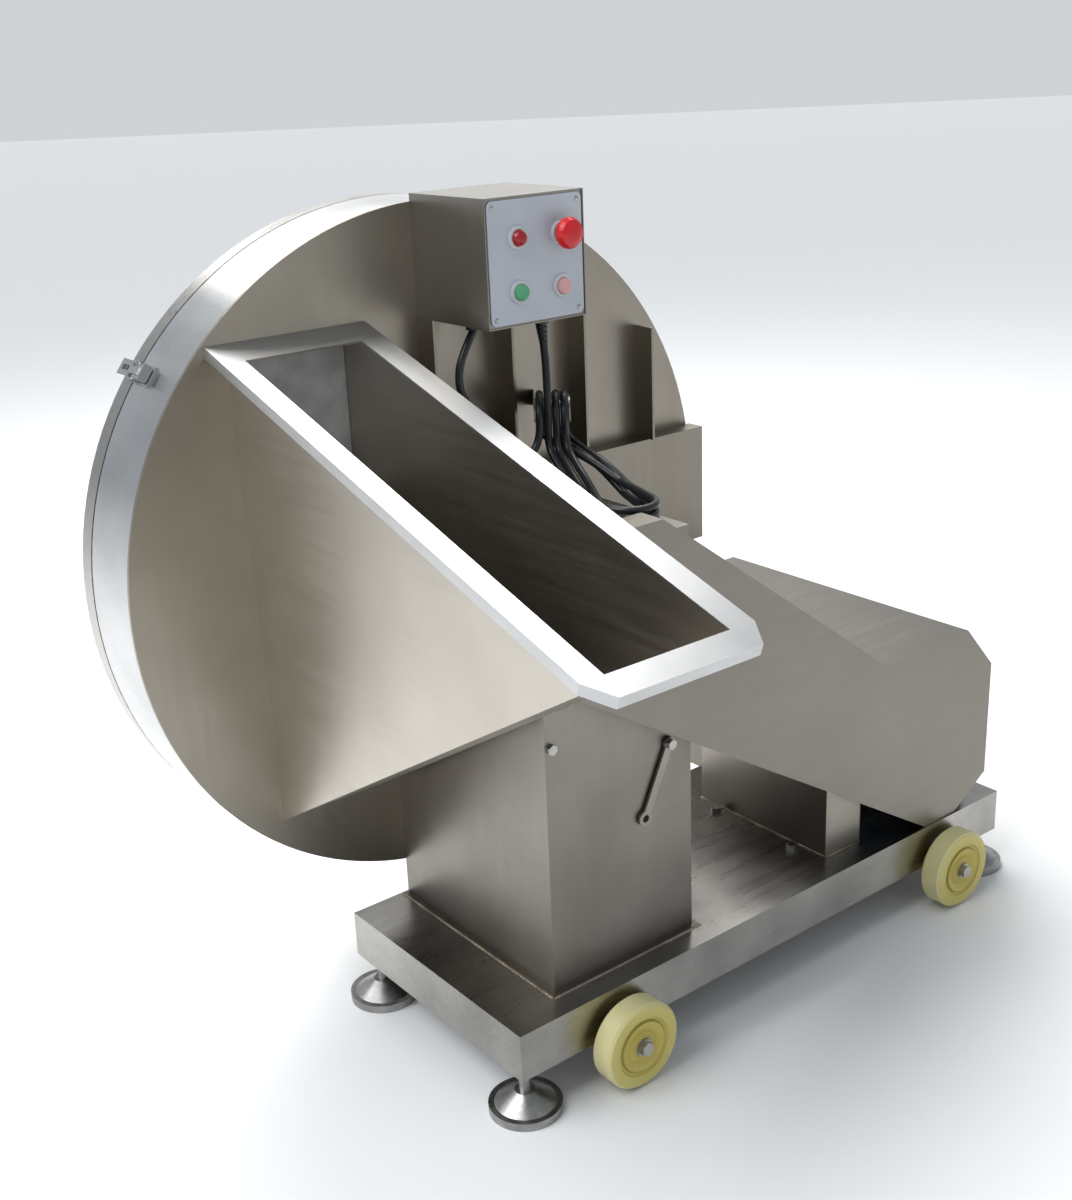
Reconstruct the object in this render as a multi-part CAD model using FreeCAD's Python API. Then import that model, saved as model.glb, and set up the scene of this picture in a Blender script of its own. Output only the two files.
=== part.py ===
import FreeCAD, Part
import math
import os

# A wheeled flaker for frozen meat blocks: a knife disc turns inside a big upright drum, blocks slide
# down an inclined hopper onto it, and a belt drive under a sloping guard turns it.
# Millimetres. While it is built, x runs right along the base pan from its left end, y runs back from
# the pan's front face and z runs up from the floor. save() moves it all to the middle of the footprint.

V = FreeCAD.Vector
ACROSS = V(1, 0, 0)
BACK = V(0, 1, 0)
UP = V(0, 0, 1)

# Clearances
shaft_gap = 0.05      # radial, shaft in bore
free_gap = 0.5        # pieces that pass each other

# Base pan, a folded sheet tray turned upside down
pan_behind_pedestal = 6.0
pan_height = 70.0
pan_clearance = 67.0
pan_sheet = 3.0
pan_left_end = 93.0   # pan end to pedestal
pan_right_end = 185.0  # motor axis to pan end
lug_size = 60.0
lug_thick = 8.0

# Levelling feet
foot_inset_x = 24.0
foot_inset_y = 28.0
pad_radius = 50.0
pad_thick = 12.0
pad_neck_radius = 14.0
pad_neck_top = 30.0
stud_radius = 8.0
stud_above_lug = 40.0
lock_nut_flats = 24.0
lock_nut_height = 10.0

# Wheels
wheel_radius = 62.5
wheel_width = 36.0
wheel_lift = 1.5
wheel_left_inset = 171.0
wheel_right_inset = 145.0
axle_radius = 6.0
wheel_bracket_thick = 6.0
wheel_bracket_half = 22.0

# Pedestal, a box column of sheet
pedestal_width = 252.0
pedestal_front = 44.0
pedestal_depth = 350.0
pedestal_sheet = 3.0
pedestal_over_spindle = 75.0
foot_flange = 8.0
spindle_from_side = 109.0

# Drum
drum_radius = 480.0
drum_rise = 45.0      # deck to the lowest point of the drum
plate_thick = 5.0
band_width = 107.0
band_sheet = 3.0
gasket_thick = 3.0
gasket_width = 10.0
lip_width = 25.0
door_sheet = 2.5
rib_depth = 38.0
rib_thick = 4.0
rib_pitch = 130.5
rib_first = -23.5     # from the spindle axis
rib_count = 4
rib_edge_inset = 28.0
beam_depth = 30.0
beam_half_height = 91.0
beam_sheet = 3.0

# Knife disc and spindle
disc_thick = 12.0
disc_edge_gap = 25.0
disc_front_gap = 6.0
knife_count = 4
knife_inner = 120.0
knife_outer_inset = 22.0
knife_width = 55.0
knife_thick = 4.0
slot_width = 24.0
knife_screw_radius = 4.0
knife_screw_head = 6.5
spindle_radius = 25.0
spindle_nose_radius = 22.5
spindle_end_radius = 20.0
spindle_flange_radius = 60.0
spindle_hole_radius = 64.0
disc_nut_radius = 38.0
disc_nut_thick = 20.0
bearing_outer = 45.0
bearing_width = 30.0
housing_half = 65.0
housing_flange = 14.0
housing_barrel = 58.0
housing_depth = 40.0

# Belt drive
pulley_width = 35.0
pulley_gap = 2.0
spindle_pulley_radius = 100.0
motor_pulley_radius = 45.0
belt_pitch_depth = 3.25   # pulley rim to the belt's pitch line
belt_top_depth = 0.5
belt_height = 8.0
belt_half_top = 6.5
belt_half_bottom = 3.6
groove_half_top = 7.0
groove_half_bottom = 3.2
groove_depth = 11.5
first_groove = 10.0
groove_pitch = 15.0
motor_offset = 613.0      # spindle axis to motor axis, along x
motor_height = 150.0      # deck to motor axis

# Motor
motor_radius = 105.0
motor_front = 70.0
motor_length = 330.0
motor_wall = 8.0
shield_thick = 14.0
core_length = 160.0
rotor_radius = 55.0
motor_shaft_radius = 19.0
cowl_length = 55.0
cowl_sheet = 1.5
fan_radius = 92.0
fan_blades = 8
slide_half = 105.0
slide_thick = 15.0
terminal_half = 45.0
terminal_height = 44.0

# Guard, cover and post
sheet = 2.0
guard_above_spindle = 9.0    # pulley rim to guard top
guard_left_of_spindle = 18.0
cover_left = 110.0           # from the motor axis
cover_right = 150.0
cover_top = 312.0            # above the deck
cover_shoulder = 74.0
cover_corner = 66.0
cover_behind_cowl = 55.0
guard_toe = 48.0
guard_toe_left = 1.0         # from the motor axis
guard_toe_right = 75.0
belt_room_spindle = 23.4
belt_room_motor = 18.2
guard_low_cut_x = 25.0       # corners cut off the guard's upper end
guard_low_cut_z = 31.0
guard_corner_x = 54.0
guard_corner_z = 63.0
post_width = 77.0
post_depth = 270.0
post_height = 180.0

# Hopper, from the spindle axis sideways
hopper_left = 312.0
hopper_left_low = 300.0
hopper_right = 140.0
hopper_reach = 716.0
hopper_sheet = 2.5
hopper_corner_inset = 32.0
rim_left = 340.0
rim_right = 107.0
rim_slope = 17.85
rim_thick = 3.0
rim_lip = 14.0
rim_front_bar = 34.0
rim_rear_bar = 50.0
rim_front_over = 24.0
rim_edge_inset = 3.0
rim_chamfer_x = 21.0
rim_chamfer_y = 34.0
mouth_height = 445.0

# Control box, from the spindle axis sideways
box_left = -24.0
box_width = 160.0
box_height = 163.0
box_depth = 164.0
box_over_drum = 10.0
box_sheet = 1.5
panel_thick = 2.0
panel_seam = 2.5
panel_corner = 8.0
button_left_inset = 50.0
button_right_inset = 40.0
button_top = 52.0
button_bottom = 43.0
panel_hole = 11.2
bezel_radius = 15.0
bezel_thick = 4.0
bezel_barrel = 11.0
bezel_bore = 10.8
stem_radius = 9.2
stem_bore = 9.7
cap_radius = 10.3
button_travel = 4.0
estop_travel = 5.0
estop_radius = 20.0

# Cables
cable_diameter = 11.0
gland_radius = 11.0
gland_length = 18.0
plug_radius = 23.0
plug_length = 85.0
lying_gap = 0.2
saddle_radius = 28.0
saddle_width = 47.0
saddle_sheet = 2.0
saddle_lip = 4.0
oval_points = 12
saddle_arm = 110.0
saddle_axis_z = 835.0
loop_inset = 1.0
loop_seat = 3.0
outline_points = 12
outline_power = 0.7

# Discharge port in the rear door, and its chute
port_half = 140.0
port_height = 140.0
port_over_edge = 45.0
chute_reach = 80.0
chute_drop = 60.0

# Door hinge and toggle latch
hinge_offset = 12.0
hinge_knuckle = 7.0
hinge_pin = 4.0
knuckle_length = 20.0
latch_angle = 52.4      # from the top of the drum, towards the left
latch_half = 11.0
latch_pin_rise = 10.0
latch_pin_radius = 2.0
claw_pin_radius = 1.5
claw_rise = 2.6

# Clamp lever on the pedestal front
lever_right_inset = 43.0
lever_under_guard = 16.0
lever_length = 107.0
lever_lean = 25.4
lever_thick = 4.0

# Places that follow from the sizes
deck = pan_clearance + pan_height
pan_depth = pedestal_front + pedestal_depth + pan_behind_pedestal
pedestal_left = pan_left_end
pedestal_right = pedestal_left + pedestal_width
drum_front = pedestal_front + pedestal_depth
spindle_x = pedestal_left + spindle_from_side
spindle_z = deck + drum_rise + drum_radius
pedestal_top = spindle_z + pedestal_over_spindle
motor_x = spindle_x + motor_offset
motor_z = deck + motor_height
pan_length = motor_x + pan_right_end
wheel_z = wheel_radius + wheel_lift
plate_back = drum_front + plate_thick
band_back = plate_back + band_width
lip_front = band_back + gasket_thick + free_gap
door_front = lip_front + lip_width
door_back = door_front + door_sheet
disc_radius = drum_radius - band_sheet - disc_edge_gap
disc_front = plate_back + disc_front_gap
disc_back = disc_front + disc_thick
guard_depth = sheet + pulley_width + 2 * pulley_gap
guard_front = pedestal_front - guard_depth
pulley_front = guard_front + sheet + pulley_gap
motor_back = motor_front + motor_length
core_front = motor_front + (motor_length - core_length) / 2
cover_back = motor_back + cowl_length + cover_behind_cowl
rim_rear_z = spindle_z + math.sqrt((drum_radius - rim_edge_inset) ** 2 - rim_left ** 2)
hopper_floor_z = spindle_z - math.sqrt((drum_radius - hopper_corner_inset) ** 2 - hopper_left_low ** 2)
box_x = spindle_x + box_left
box_top = spindle_z + drum_radius + box_over_drum
box_bottom = box_top - box_height
box_front = drum_front - box_depth
block_front = box_front + panel_thick + 12
button_columns = (box_x + button_left_inset, box_x + box_width - button_right_inset)
button_rows = (box_top - button_top, box_bottom + button_bottom)
plug_rest = pedestal_top + plug_radius + lying_gap
port_bottom = spindle_z - drum_radius + port_over_edge
port_top = port_bottom + port_height
hinge_x = spindle_x + drum_radius + hinge_offset
hinge_y = band_back + gasket_thick / 2
rim_front_y = drum_front - hopper_reach - rim_front_over
chute_back = door_back + chute_reach
pad_right = pan_length - foot_inset_x + pad_radius
middle = V((spindle_x - drum_radius + pad_right) / 2, (rim_front_y + chute_back) / 2, 0)


# ---- shapes that many pieces use

def box(x0, y0, z0, x1, y1, z1):
    return Part.makeBox(x1 - x0, y1 - y0, z1 - z0, V(x0, y0, z0))


def rod_y(x, z, radius, y0, y1):
    return Part.makeCylinder(radius, y1 - y0, V(x, y0, z), BACK)


def rod_z(x, y, radius, z0, z1):
    return Part.makeCylinder(radius, z1 - z0, V(x, y, z0), UP)


def ring_y(x, z, outer, inner, y0, y1):
    return rod_y(x, z, outer, y0, y1).cut(rod_y(x, z, inner, y0 - 1, y1 + 1))


def face_of(points):
    return Part.Face(Part.makePolygon(points + [points[0]]))


def prism_y(outline, y0, y1):
    """An outline of (x, z) points, thick along y."""
    return face_of([V(x, y0, z) for x, z in outline]).extrude(V(0, y1 - y0, 0))


def prism_x(outline, x0, x1):
    """An outline of (y, z) points, thick along x."""
    return face_of([V(x0, y, z) for y, z in outline]).extrude(V(x1 - x0, 0, 0))


def prism_z(outline, z0, z1):
    """An outline of (x, y) points, thick along z."""
    return face_of([V(x, y, z0) for x, y in outline]).extrude(V(0, 0, z1 - z0))


def turned(outline, x, z):
    """An outline of (radius, y) points, turned about the y axis through (x, z)."""
    face = face_of([V(x + r, y, z) for r, y in outline])
    return face.revolve(V(x, 0, z), BACK, 360)


def hexagon(centre, flats, start, end, along):
    """A six-sided bar round a centre point, from start to end along an axis."""
    side = V(0, 0, 1) if along.z == 0 else V(1, 0, 0)
    other = along.cross(side)
    reach = flats / math.sqrt(3)
    points = []
    for corner in range(6):
        turn = math.radians(60 * corner)
        points.append(centre + side * (reach * math.cos(turn)) + other * (reach * math.sin(turn)) + along * start)
    return face_of(points).extrude(along * (end - start))


def around_spindle(shape, degrees):
    """A copy of a shape, turned to the left about the spindle axis."""
    copy = shape.copy()
    copy.rotate(V(spindle_x, 0, spindle_z), BACK, -degrees)
    return copy


def fuse(shapes):
    return shapes[0].multiFuse(shapes[1:]).removeSplitter()


def save(name, shape):
    placed = shape.copy()
    placed.translate(middle * -1)
    placed.exportStep("parts/" + name + ".step")
    print(name, "solids", len(placed.Solids), "valid", placed.isValid(), "cm3", round(placed.Volume / 1000, 1))


# ---- base

def wheel_places():
    """(name, x, outward direction in y, y of the pan's face) of each wheel."""
    right = pan_length - wheel_right_inset
    return [("front_left", wheel_left_inset, -1, 0.0), ("front_right", right, -1, 0.0),
            ("rear_left", wheel_left_inset, 1, pan_depth), ("rear_right", right, 1, pan_depth)]


def foot_places():
    right = pan_length - foot_inset_x
    rear = pan_depth - foot_inset_y
    return [("front_left", foot_inset_x, foot_inset_y), ("front_right", right, foot_inset_y),
            ("rear_left", foot_inset_x, rear), ("rear_right", right, rear)]


def base_pan():
    outer = box(0, 0, pan_clearance, pan_length, pan_depth, deck)
    pieces = [outer.cut(box(pan_sheet, pan_sheet, pan_clearance - 1,
                            pan_length - pan_sheet, pan_depth - pan_sheet, deck - pan_sheet))]
    for name, x, y in foot_places():
        x0 = min(max(x - lug_size / 2, pan_sheet), pan_length - pan_sheet - lug_size)
        y0 = min(max(y - lug_size / 2, pan_sheet), pan_depth - pan_sheet - lug_size)
        pieces.append(box(x0, y0, pan_clearance, x0 + lug_size, y0 + lug_size, pan_clearance + lug_thick))
    for name, x, out, face in wheel_places():
        y0, y1 = sorted((face, face + out * wheel_bracket_thick))
        pieces.append(box(x - wheel_bracket_half, y0, wheel_z - wheel_bracket_half,
                          x + wheel_bracket_half, y1, wheel_z + 2 * wheel_bracket_half))
    pan = fuse(pieces)
    for name, x, y in foot_places():
        pan = pan.cut(rod_z(x, y, stud_radius + shaft_gap, pan_clearance - 1, deck - pan_sheet))
    for name, x, out, face in wheel_places():
        reach = 2 * wheel_bracket_thick
        pan = pan.cut(rod_y(x, wheel_z, axle_radius + shaft_gap, face - reach, face + reach))
    return pan


def foot(x, y):
    """A round pad, its coned neck and the threaded stud."""
    pad = rod_z(x, y, pad_radius, 0, pad_thick)
    neck = Part.makeCone(pad_radius - 8, pad_neck_radius, pad_neck_top - pad_thick, V(x, y, pad_thick), UP)
    stud = rod_z(x, y, stud_radius, pad_thick, pan_clearance + lug_thick + stud_above_lug)
    return fuse([pad, neck, stud])


def foot_lock_nuts():
    nuts = []
    for name, x, y in foot_places():
        nut = hexagon(V(x, y, pan_clearance), lock_nut_flats, -lock_nut_height, 0, UP)
        nuts.append(nut.cut(rod_z(x, y, stud_radius + shaft_gap, 0, deck)))
    return Part.makeCompound(nuts)


def wheel(x, out, face):
    """A moulded wheel with a grooved side and a round hub."""
    inner = face + out * (wheel_bracket_thick + 4)
    outer = inner + out * wheel_width
    crown = 4.0
    hub = 20.0
    outline = [(axle_radius + shaft_gap, inner), (wheel_radius - crown, inner),
               (wheel_radius, inner + out * crown), (wheel_radius, outer - out * crown),
               (wheel_radius - crown, outer), (44.0, outer), (42.0, outer - out * 3), (38.0, outer - out * 3),
               (36.0, outer), (hub + 4, outer - out * 4), (hub, outer - out), (axle_radius + shaft_gap, outer - out)]
    return turned(outline, x, wheel_z)


def wheel_axles():
    axles = []
    for name, x, out, face in wheel_places():
        seat = face + out * (wheel_bracket_thick + 4)
        end = seat + out * wheel_width
        ends = [face - out * 12, end]
        shank = rod_y(x, wheel_z, axle_radius, min(ends), max(ends))
        collar = [face + out * wheel_bracket_thick, seat - out * free_gap]
        washer = [end - out * free_gap, end + out * 1.5]
        sleeve = rod_y(x, wheel_z, 10.0, min(collar), max(collar))
        disc = rod_y(x, wheel_z, 12.0, min(washer), max(washer))
        head = hexagon(V(x, end + out * 1.5, wheel_z), 18.0, 0, 7.0, BACK * out)
        axles.append(fuse([shank, sleeve, disc, head]))
    return Part.makeCompound(axles)


# ---- pedestal

def pedestal():
    x0, x1, y0, y1 = pedestal_left, pedestal_right, pedestal_front, drum_front
    t = pedestal_sheet
    outer = box(x0, y0, deck, x1, y1, pedestal_top)
    flange = box(x0 - foot_flange, y0 - foot_flange, deck, x1 + foot_flange, y1, deck + t)
    inner = box(x0 + t, y0 + t, deck - 1, x1 - t, y1 - t, pedestal_top - t)
    shell = fuse([outer, flange]).cut(inner)
    shell = shell.cut(rod_y(spindle_x, spindle_z, spindle_radius + 5, y0 - 1, y0 + t + 1))
    shell = shell.cut(rod_y(spindle_x, spindle_z, spindle_hole_radius, y1 - t - 1, y1 + 1))
    for name, x, y, z in lead_glands():
        if z < box_bottom:
            shell = shell.cut(rod_z(x, y, gland_radius - 3 + shaft_gap, pedestal_top - t - 1, pedestal_top + 1))
    return shell.cut(rod_y(*pedestal_bolt(), 4.0 + shaft_gap, y0 - 1, y0 + t + 1))


def pedestal_bolt():
    return (pedestal_left + 10, spindle_z - 167)


def lever_pivot():
    """The clamp lever hangs from a screw just under the guard's sloping lower edge."""
    x = pedestal_right - lever_right_inset
    return x, guard_lower_z(x) - lever_under_guard


def clamp_lever():
    x, z = lever_pivot()
    y1 = pedestal_front - 2
    y0 = y1 - lever_thick
    bar = box(x - 6, y0, z - lever_length, x + 6, y1, z)
    boss = rod_y(x, z, 9.0, y0, y1)
    eye = rod_y(x, z - lever_length, 11.0, y0, y1)
    lever = fuse([bar, boss, eye])
    lever = lever.cut(rod_y(x, z - lever_length, 5.5, y0 - 1, y1 + 1))
    lever = lever.cut(rod_y(x, z, 4.0 + shaft_gap, y0 - 1, y1 + 1))
    lever.rotate(V(x, 0, z), BACK, lever_lean)
    return lever


def pedestal_screws():
    """The lever's shouldered screw, and the hex bolt near the pedestal's front corner."""
    x, z = lever_pivot()
    y1 = pedestal_front - 2
    y0 = y1 - lever_thick
    spacer = rod_y(x, z, 7.0, y1 + free_gap, pedestal_front)
    shank = rod_y(x, z, 4.0, y0 - 2, pedestal_front)
    head = hexagon(V(x, y0 - free_gap, z), 13.0, -5.0, 0, BACK)
    bx, bz = pedestal_bolt()
    bolt = fuse([rod_y(bx, bz, 4.0, pedestal_front, pedestal_front + 12),
                 hexagon(V(bx, pedestal_front, bz), 13.0, -5.5, 0, BACK)])
    return [fuse([spacer, shank, head]), bolt]


# ---- drum

def drum_front_plate():
    plate = rod_y(spindle_x, spindle_z, drum_radius, drum_front, plate_back)
    plate = plate.cut(rod_y(spindle_x, spindle_z, spindle_hole_radius, drum_front - 1, plate_back + 1))
    x0 = spindle_x - hopper_left_low + hopper_sheet
    x1 = spindle_x - hopper_right - hopper_sheet
    z0 = hopper_floor_z + hopper_sheet
    return plate.cut(box(x0, drum_front - 1, z0, x1, plate_back + 1, z0 + mouth_height))


def drum_band():
    return ring_y(spindle_x, spindle_z, drum_radius, drum_radius - band_sheet, plate_back, band_back)


def face_ribs():
    """Upright stiffening plates on the front plate, right of the hopper."""
    ribs = []
    for count in range(rib_count):
        offset = rib_first + rib_pitch * count
        x = spindle_x + offset
        top = spindle_z + math.sqrt((drum_radius - rib_edge_inset) ** 2 - offset ** 2)
        if box_x - rib_thick < x < box_x + box_width:
            top = box_bottom
        over_pedestal = x < pedestal_right
        bottom = pedestal_top if over_pedestal else spindle_z + beam_half_height
        ribs.append(box(x - rib_thick / 2, drum_front - rib_depth, bottom, x + rib_thick / 2, drum_front, top))
    return ribs


def front_stiffeners():
    """The ribs, and a shallow folded channel across the front plate at spindle height."""
    y0 = drum_front - beam_depth
    z0 = spindle_z - beam_half_height
    z1 = spindle_z + beam_half_height
    x1 = spindle_x + drum_radius - 2
    t = beam_sheet
    channel = box(pedestal_right, y0, z0, x1, drum_front, z1)
    channel = channel.cut(box(pedestal_right - 1, y0 + t, z0 + t, x1 - t, drum_front + 1, z1 - t))
    return Part.makeCompound(face_ribs() + [channel])


def rear_door():
    """A dished cover: a lip round a flat disc, the discharge port and the latch keeper."""
    lip = ring_y(spindle_x, spindle_z, drum_radius, drum_radius - band_sheet, lip_front, door_front)
    disc = rod_y(spindle_x, spindle_z, drum_radius, door_front, door_back)
    disc = disc.cut(box(spindle_x - port_half, door_front - 1, port_bottom, spindle_x + port_half, door_back + 1, port_top))
    keeper = box(spindle_x - 9, lip_front + 5, spindle_z + drum_radius - band_sheet + 1, spindle_x + 9,
                 lip_front + 17, spindle_z + drum_radius + latch_pin_rise + claw_rise - free_gap)
    return fuse([lip, disc, around_spindle(keeper, latch_angle)])


def door_gasket():
    outer = drum_radius - free_gap
    return ring_y(spindle_x, spindle_z, outer, outer - gasket_width, lip_front - gasket_thick, lip_front)


def discharge_chute():
    """A hood on the door's outside that turns the slices down."""
    z0 = port_bottom - chute_drop
    half = port_half + 5
    t = sheet

    def hood(inset):
        return [(door_back, port_top + 8 - 2.5 * inset), (door_back + chute_reach - inset, port_top - 50 - inset),
                (door_back + chute_reach - inset, z0), (door_back, z0)]
    outer = prism_x(hood(0), spindle_x - half, spindle_x + half)
    return outer.cut(prism_x(hood(t), spindle_x - half + t, spindle_x + half - t))


def hinge_knuckles(shares):
    """Knuckle rings on the hinge axis; shares are (start, end) in heights from the spindle."""
    rings = []
    for start, end in shares:
        rings.append(rod_z(hinge_x, hinge_y, hinge_knuckle, spindle_z + start, spindle_z + end))
    return rings


def door_hinge_fixed():
    """The drum's half of the hinge: a pad welded to the band, two knuckles and the pin."""
    half = 1.5 * knuckle_length
    pad = box(hinge_x - 2 * hinge_offset, band_back - 45, spindle_z - half, hinge_x + hinge_knuckle / 2,
              band_back - 2, spindle_z + half)
    pad = pad.cut(rod_y(spindle_x, spindle_z, drum_radius, 0, door_back))
    inner = knuckle_length / 2 + free_gap
    pieces = hinge_knuckles([(-half, -inner), (inner, half)])
    web = box(hinge_x - 3, band_back - 10, spindle_z - half, hinge_x + hinge_knuckle / 2, hinge_y, spindle_z + half)
    web = web.cut(box(0, band_back - 9, spindle_z - inner, pan_length, door_back, spindle_z + inner))
    body = fuse([pad, web] + pieces)
    room = rod_z(hinge_x, hinge_y, hinge_knuckle + free_gap, spindle_z - inner, spindle_z + inner)
    pin = rod_z(hinge_x, hinge_y, hinge_pin, spindle_z - half - 4, spindle_z + half + 4)
    return fuse([body.cut(room), pin])


def door_hinge_moving():
    """The door's half of the hinge: a pad welded to the lip and one knuckle."""
    half = knuckle_length / 2
    pad = box(hinge_x - 2 * hinge_offset, lip_front + 4, spindle_z - half, hinge_x + 3, door_back, spindle_z + half)
    pad = pad.cut(rod_y(spindle_x, spindle_z, drum_radius, 0, door_back + 1))
    web = box(hinge_x - 1, hinge_y, spindle_z - half, hinge_x + 3, lip_front + 6, spindle_z + half)
    body = fuse([pad, web] + hinge_knuckles([(-half, half)]))
    return body.cut(rod_z(hinge_x, hinge_y, hinge_pin + shaft_gap, spindle_z - 2 * half, spindle_z + 2 * half))


# The latch is laid out at the top of the drum, then turned to its place
latch_pivot_y = band_back - 14
claw_pivot_y = latch_pivot_y - 14
latch_pin_z = spindle_z + drum_radius + latch_pin_rise


def latch_pin(y, radius, half):
    return Part.makeCylinder(radius, 2 * half, V(spindle_x - half, y, latch_pin_z), ACROSS)


def latch_base():
    """A pad welded to the band, with two ears and the lever's pin."""
    pad = box(spindle_x - 14, claw_pivot_y - 16, latch_pin_z - 20, spindle_x + 14, band_back - 4, latch_pin_z - 6.5)
    pad = pad.cut(rod_y(spindle_x, spindle_z, drum_radius, 0, door_back))
    pieces = [pad, latch_pin(latch_pivot_y, latch_pin_radius, 14)]
    for x0 in (spindle_x - 14, spindle_x + 11.5):
        pieces.append(box(x0, latch_pivot_y - 5, latch_pin_z - 10, x0 + 2.5, latch_pivot_y + 5, latch_pin_z + 4))
    return around_spindle(fuse(pieces), latch_angle)


def latch_lever():
    """A fork on the base's pin, which carries the claw's pin and ends in a turned-up finger."""
    half = latch_half - 0.5
    plate = box(spindle_x - half, claw_pivot_y - 16, latch_pin_z - 3.5, spindle_x + half, latch_pivot_y + 4,
                latch_pin_z + 2.5)
    finger = box(spindle_x - half, claw_pivot_y - 18, latch_pin_z - 3.5, spindle_x + half, claw_pivot_y - 14,
                 latch_pin_z + 9)
    fork = box(spindle_x - 5.5, claw_pivot_y - 5, latch_pin_z - 5, spindle_x + 5.5, band_back, latch_pin_z + 5)
    lever = fuse([plate, finger]).cut(fork)
    lever = lever.cut(latch_pin(latch_pivot_y, latch_pin_radius + shaft_gap, 20))
    return around_spindle(fuse([lever, latch_pin(claw_pivot_y, claw_pin_radius, half)]), latch_angle)


def latch_claw():
    """A slotted strap from the lever over its pin and over the seam to the keeper on the door."""
    y, z = claw_pivot_y, latch_pin_z
    side = [(y - 3.5, z - 3), (y + 3, z - 3), (y + 8, z + claw_rise), (y + 22, z + claw_rise),
            (y + 22, z + claw_rise + 3), (y - 1, z + claw_rise + 3), (y - 3.5, z + 3)]
    tongue = prism_x(side, spindle_x - 5, spindle_x + 5)
    strap = box(spindle_x - latch_half, y + 20, z + claw_rise, spindle_x + latch_half, lip_front + 20,
                z + claw_rise + 3)
    slot = box(spindle_x - 3.5, band_back - 2, z, spindle_x + 3.5, lip_front + 13, z + 9)
    claw = fuse([tongue, strap]).cut(slot).cut(latch_pin(y, claw_pin_radius + shaft_gap, 20))
    return around_spindle(claw, latch_angle)


# ---- knife disc, spindle and bearings

def knife_angles():
    return [360 / knife_count * count + 20 for count in range(knife_count)]


def knife_screw_places():
    """Radii of the screws along one knife."""
    length = disc_radius - knife_outer_inset - knife_inner
    return [knife_inner + length * share for share in (0.1, 0.5, 0.9)]


def cutter_disc():
    disc = rod_y(spindle_x, spindle_z, disc_radius, disc_front, disc_back)
    disc = disc.cut(rod_y(spindle_x, spindle_z, spindle_nose_radius + shaft_gap, disc_front - 1, disc_back + 1))
    outer = disc_radius - knife_outer_inset
    for angle in knife_angles():
        slot = box(spindle_x - slot_width, disc_front - 1, spindle_z + knife_inner, spindle_x, disc_back + 1,
                   spindle_z + outer)
        disc = disc.cut(around_spindle(slot, angle))
        for radius in knife_screw_places():
            hole = rod_y(spindle_x + knife_width / 2, spindle_z + radius, knife_screw_radius + shaft_gap,
                         disc_front - 1, disc_front + 10)
            disc = disc.cut(around_spindle(hole, angle))
    return disc


def knives():
    blades = []
    outer = disc_radius - knife_outer_inset
    for angle in knife_angles():
        edge = [(spindle_x - 6, disc_front - knife_thick), (spindle_x + knife_width, disc_front - knife_thick),
                (spindle_x + knife_width, disc_front), (spindle_x + 4, disc_front)]
        blade = prism_z(edge, spindle_z + knife_inner, spindle_z + outer)
        for radius in knife_screw_places():
            x = spindle_x + knife_width / 2
            z = spindle_z + radius
            blade = blade.cut(rod_y(x, z, knife_screw_radius + shaft_gap, disc_front - 10, disc_front + 1))
            blade = blade.cut(rod_y(x, z, knife_screw_head + 0.3, disc_front - 10, disc_front - 1.5))
        blades.append(around_spindle(blade, angle))
    return Part.makeCompound(blades)


def knife_screws():
    screws = []
    for angle in knife_angles():
        for radius in knife_screw_places():
            x = spindle_x + knife_width / 2
            z = spindle_z + radius
            head = rod_y(x, z, knife_screw_head, disc_front - knife_thick + 0.2, disc_front - 1.5)
            shank = rod_y(x, z, knife_screw_radius, disc_front - 1.5, disc_front + 9)
            screws.append(around_spindle(fuse([head, shank]), angle))
    return Part.makeCompound(screws)


def spindle():
    """The stepped shaft: pulley end, journals, disc flange and threaded nose."""
    flange_front = drum_front - 2
    outline = [(0, pulley_front + 1), (spindle_end_radius, pulley_front + 1),
               (spindle_end_radius, pedestal_front - 1), (spindle_radius, pedestal_front - 1),
               (spindle_radius, flange_front), (spindle_flange_radius, flange_front),
               (spindle_flange_radius, disc_front), (spindle_nose_radius, disc_front),
               (spindle_nose_radius, disc_back + disc_nut_thick + 4), (0, disc_back + disc_nut_thick + 4)]
    return turned(outline, spindle_x, spindle_z)


def disc_nut():
    nut = hexagon(V(spindle_x, disc_back, spindle_z), 2 * disc_nut_radius - 10, 0, disc_nut_thick, BACK)
    washer = rod_y(spindle_x, spindle_z, disc_nut_radius + 4, disc_back, disc_back + 5)
    return fuse([nut, washer]).cut(rod_y(spindle_x, spindle_z, spindle_nose_radius + shaft_gap, disc_back - 1,
                                         disc_back + disc_nut_thick + 1))


def bearing_places():
    """(flange face, direction into the pedestal) of the two units."""
    return [(pedestal_front + pedestal_sheet, 1), (drum_front - pedestal_sheet, -1)]


def bearing_units():
    """Flanged housings, each with its bearing insert."""
    units = []
    for face, into in bearing_places():
        y0, y1 = sorted((face, face + into * housing_flange))
        flange = box(spindle_x - housing_half, y0, spindle_z - housing_half, spindle_x + housing_half, y1,
                     spindle_z + housing_half)
        y0, y1 = sorted((face, face + into * housing_depth))
        barrel = rod_y(spindle_x, spindle_z, housing_barrel, y0, y1)
        shell = fuse([flange, barrel])
        shell = shell.cut(rod_y(spindle_x, spindle_z, bearing_outer + shaft_gap, y0 - 1, y1 + 1))
        near = face + into * (housing_depth - bearing_width) / 2
        y0, y1 = sorted((near, near + into * bearing_width))
        insert = ring_y(spindle_x, spindle_z, bearing_outer, spindle_radius + shaft_gap, y0, y1)
        units += [shell, insert]
    return Part.makeCompound(units)


# ---- belt drive and motor

def groove_middles():
    return [pulley_front + first_groove, pulley_front + first_groove + groove_pitch]


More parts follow.
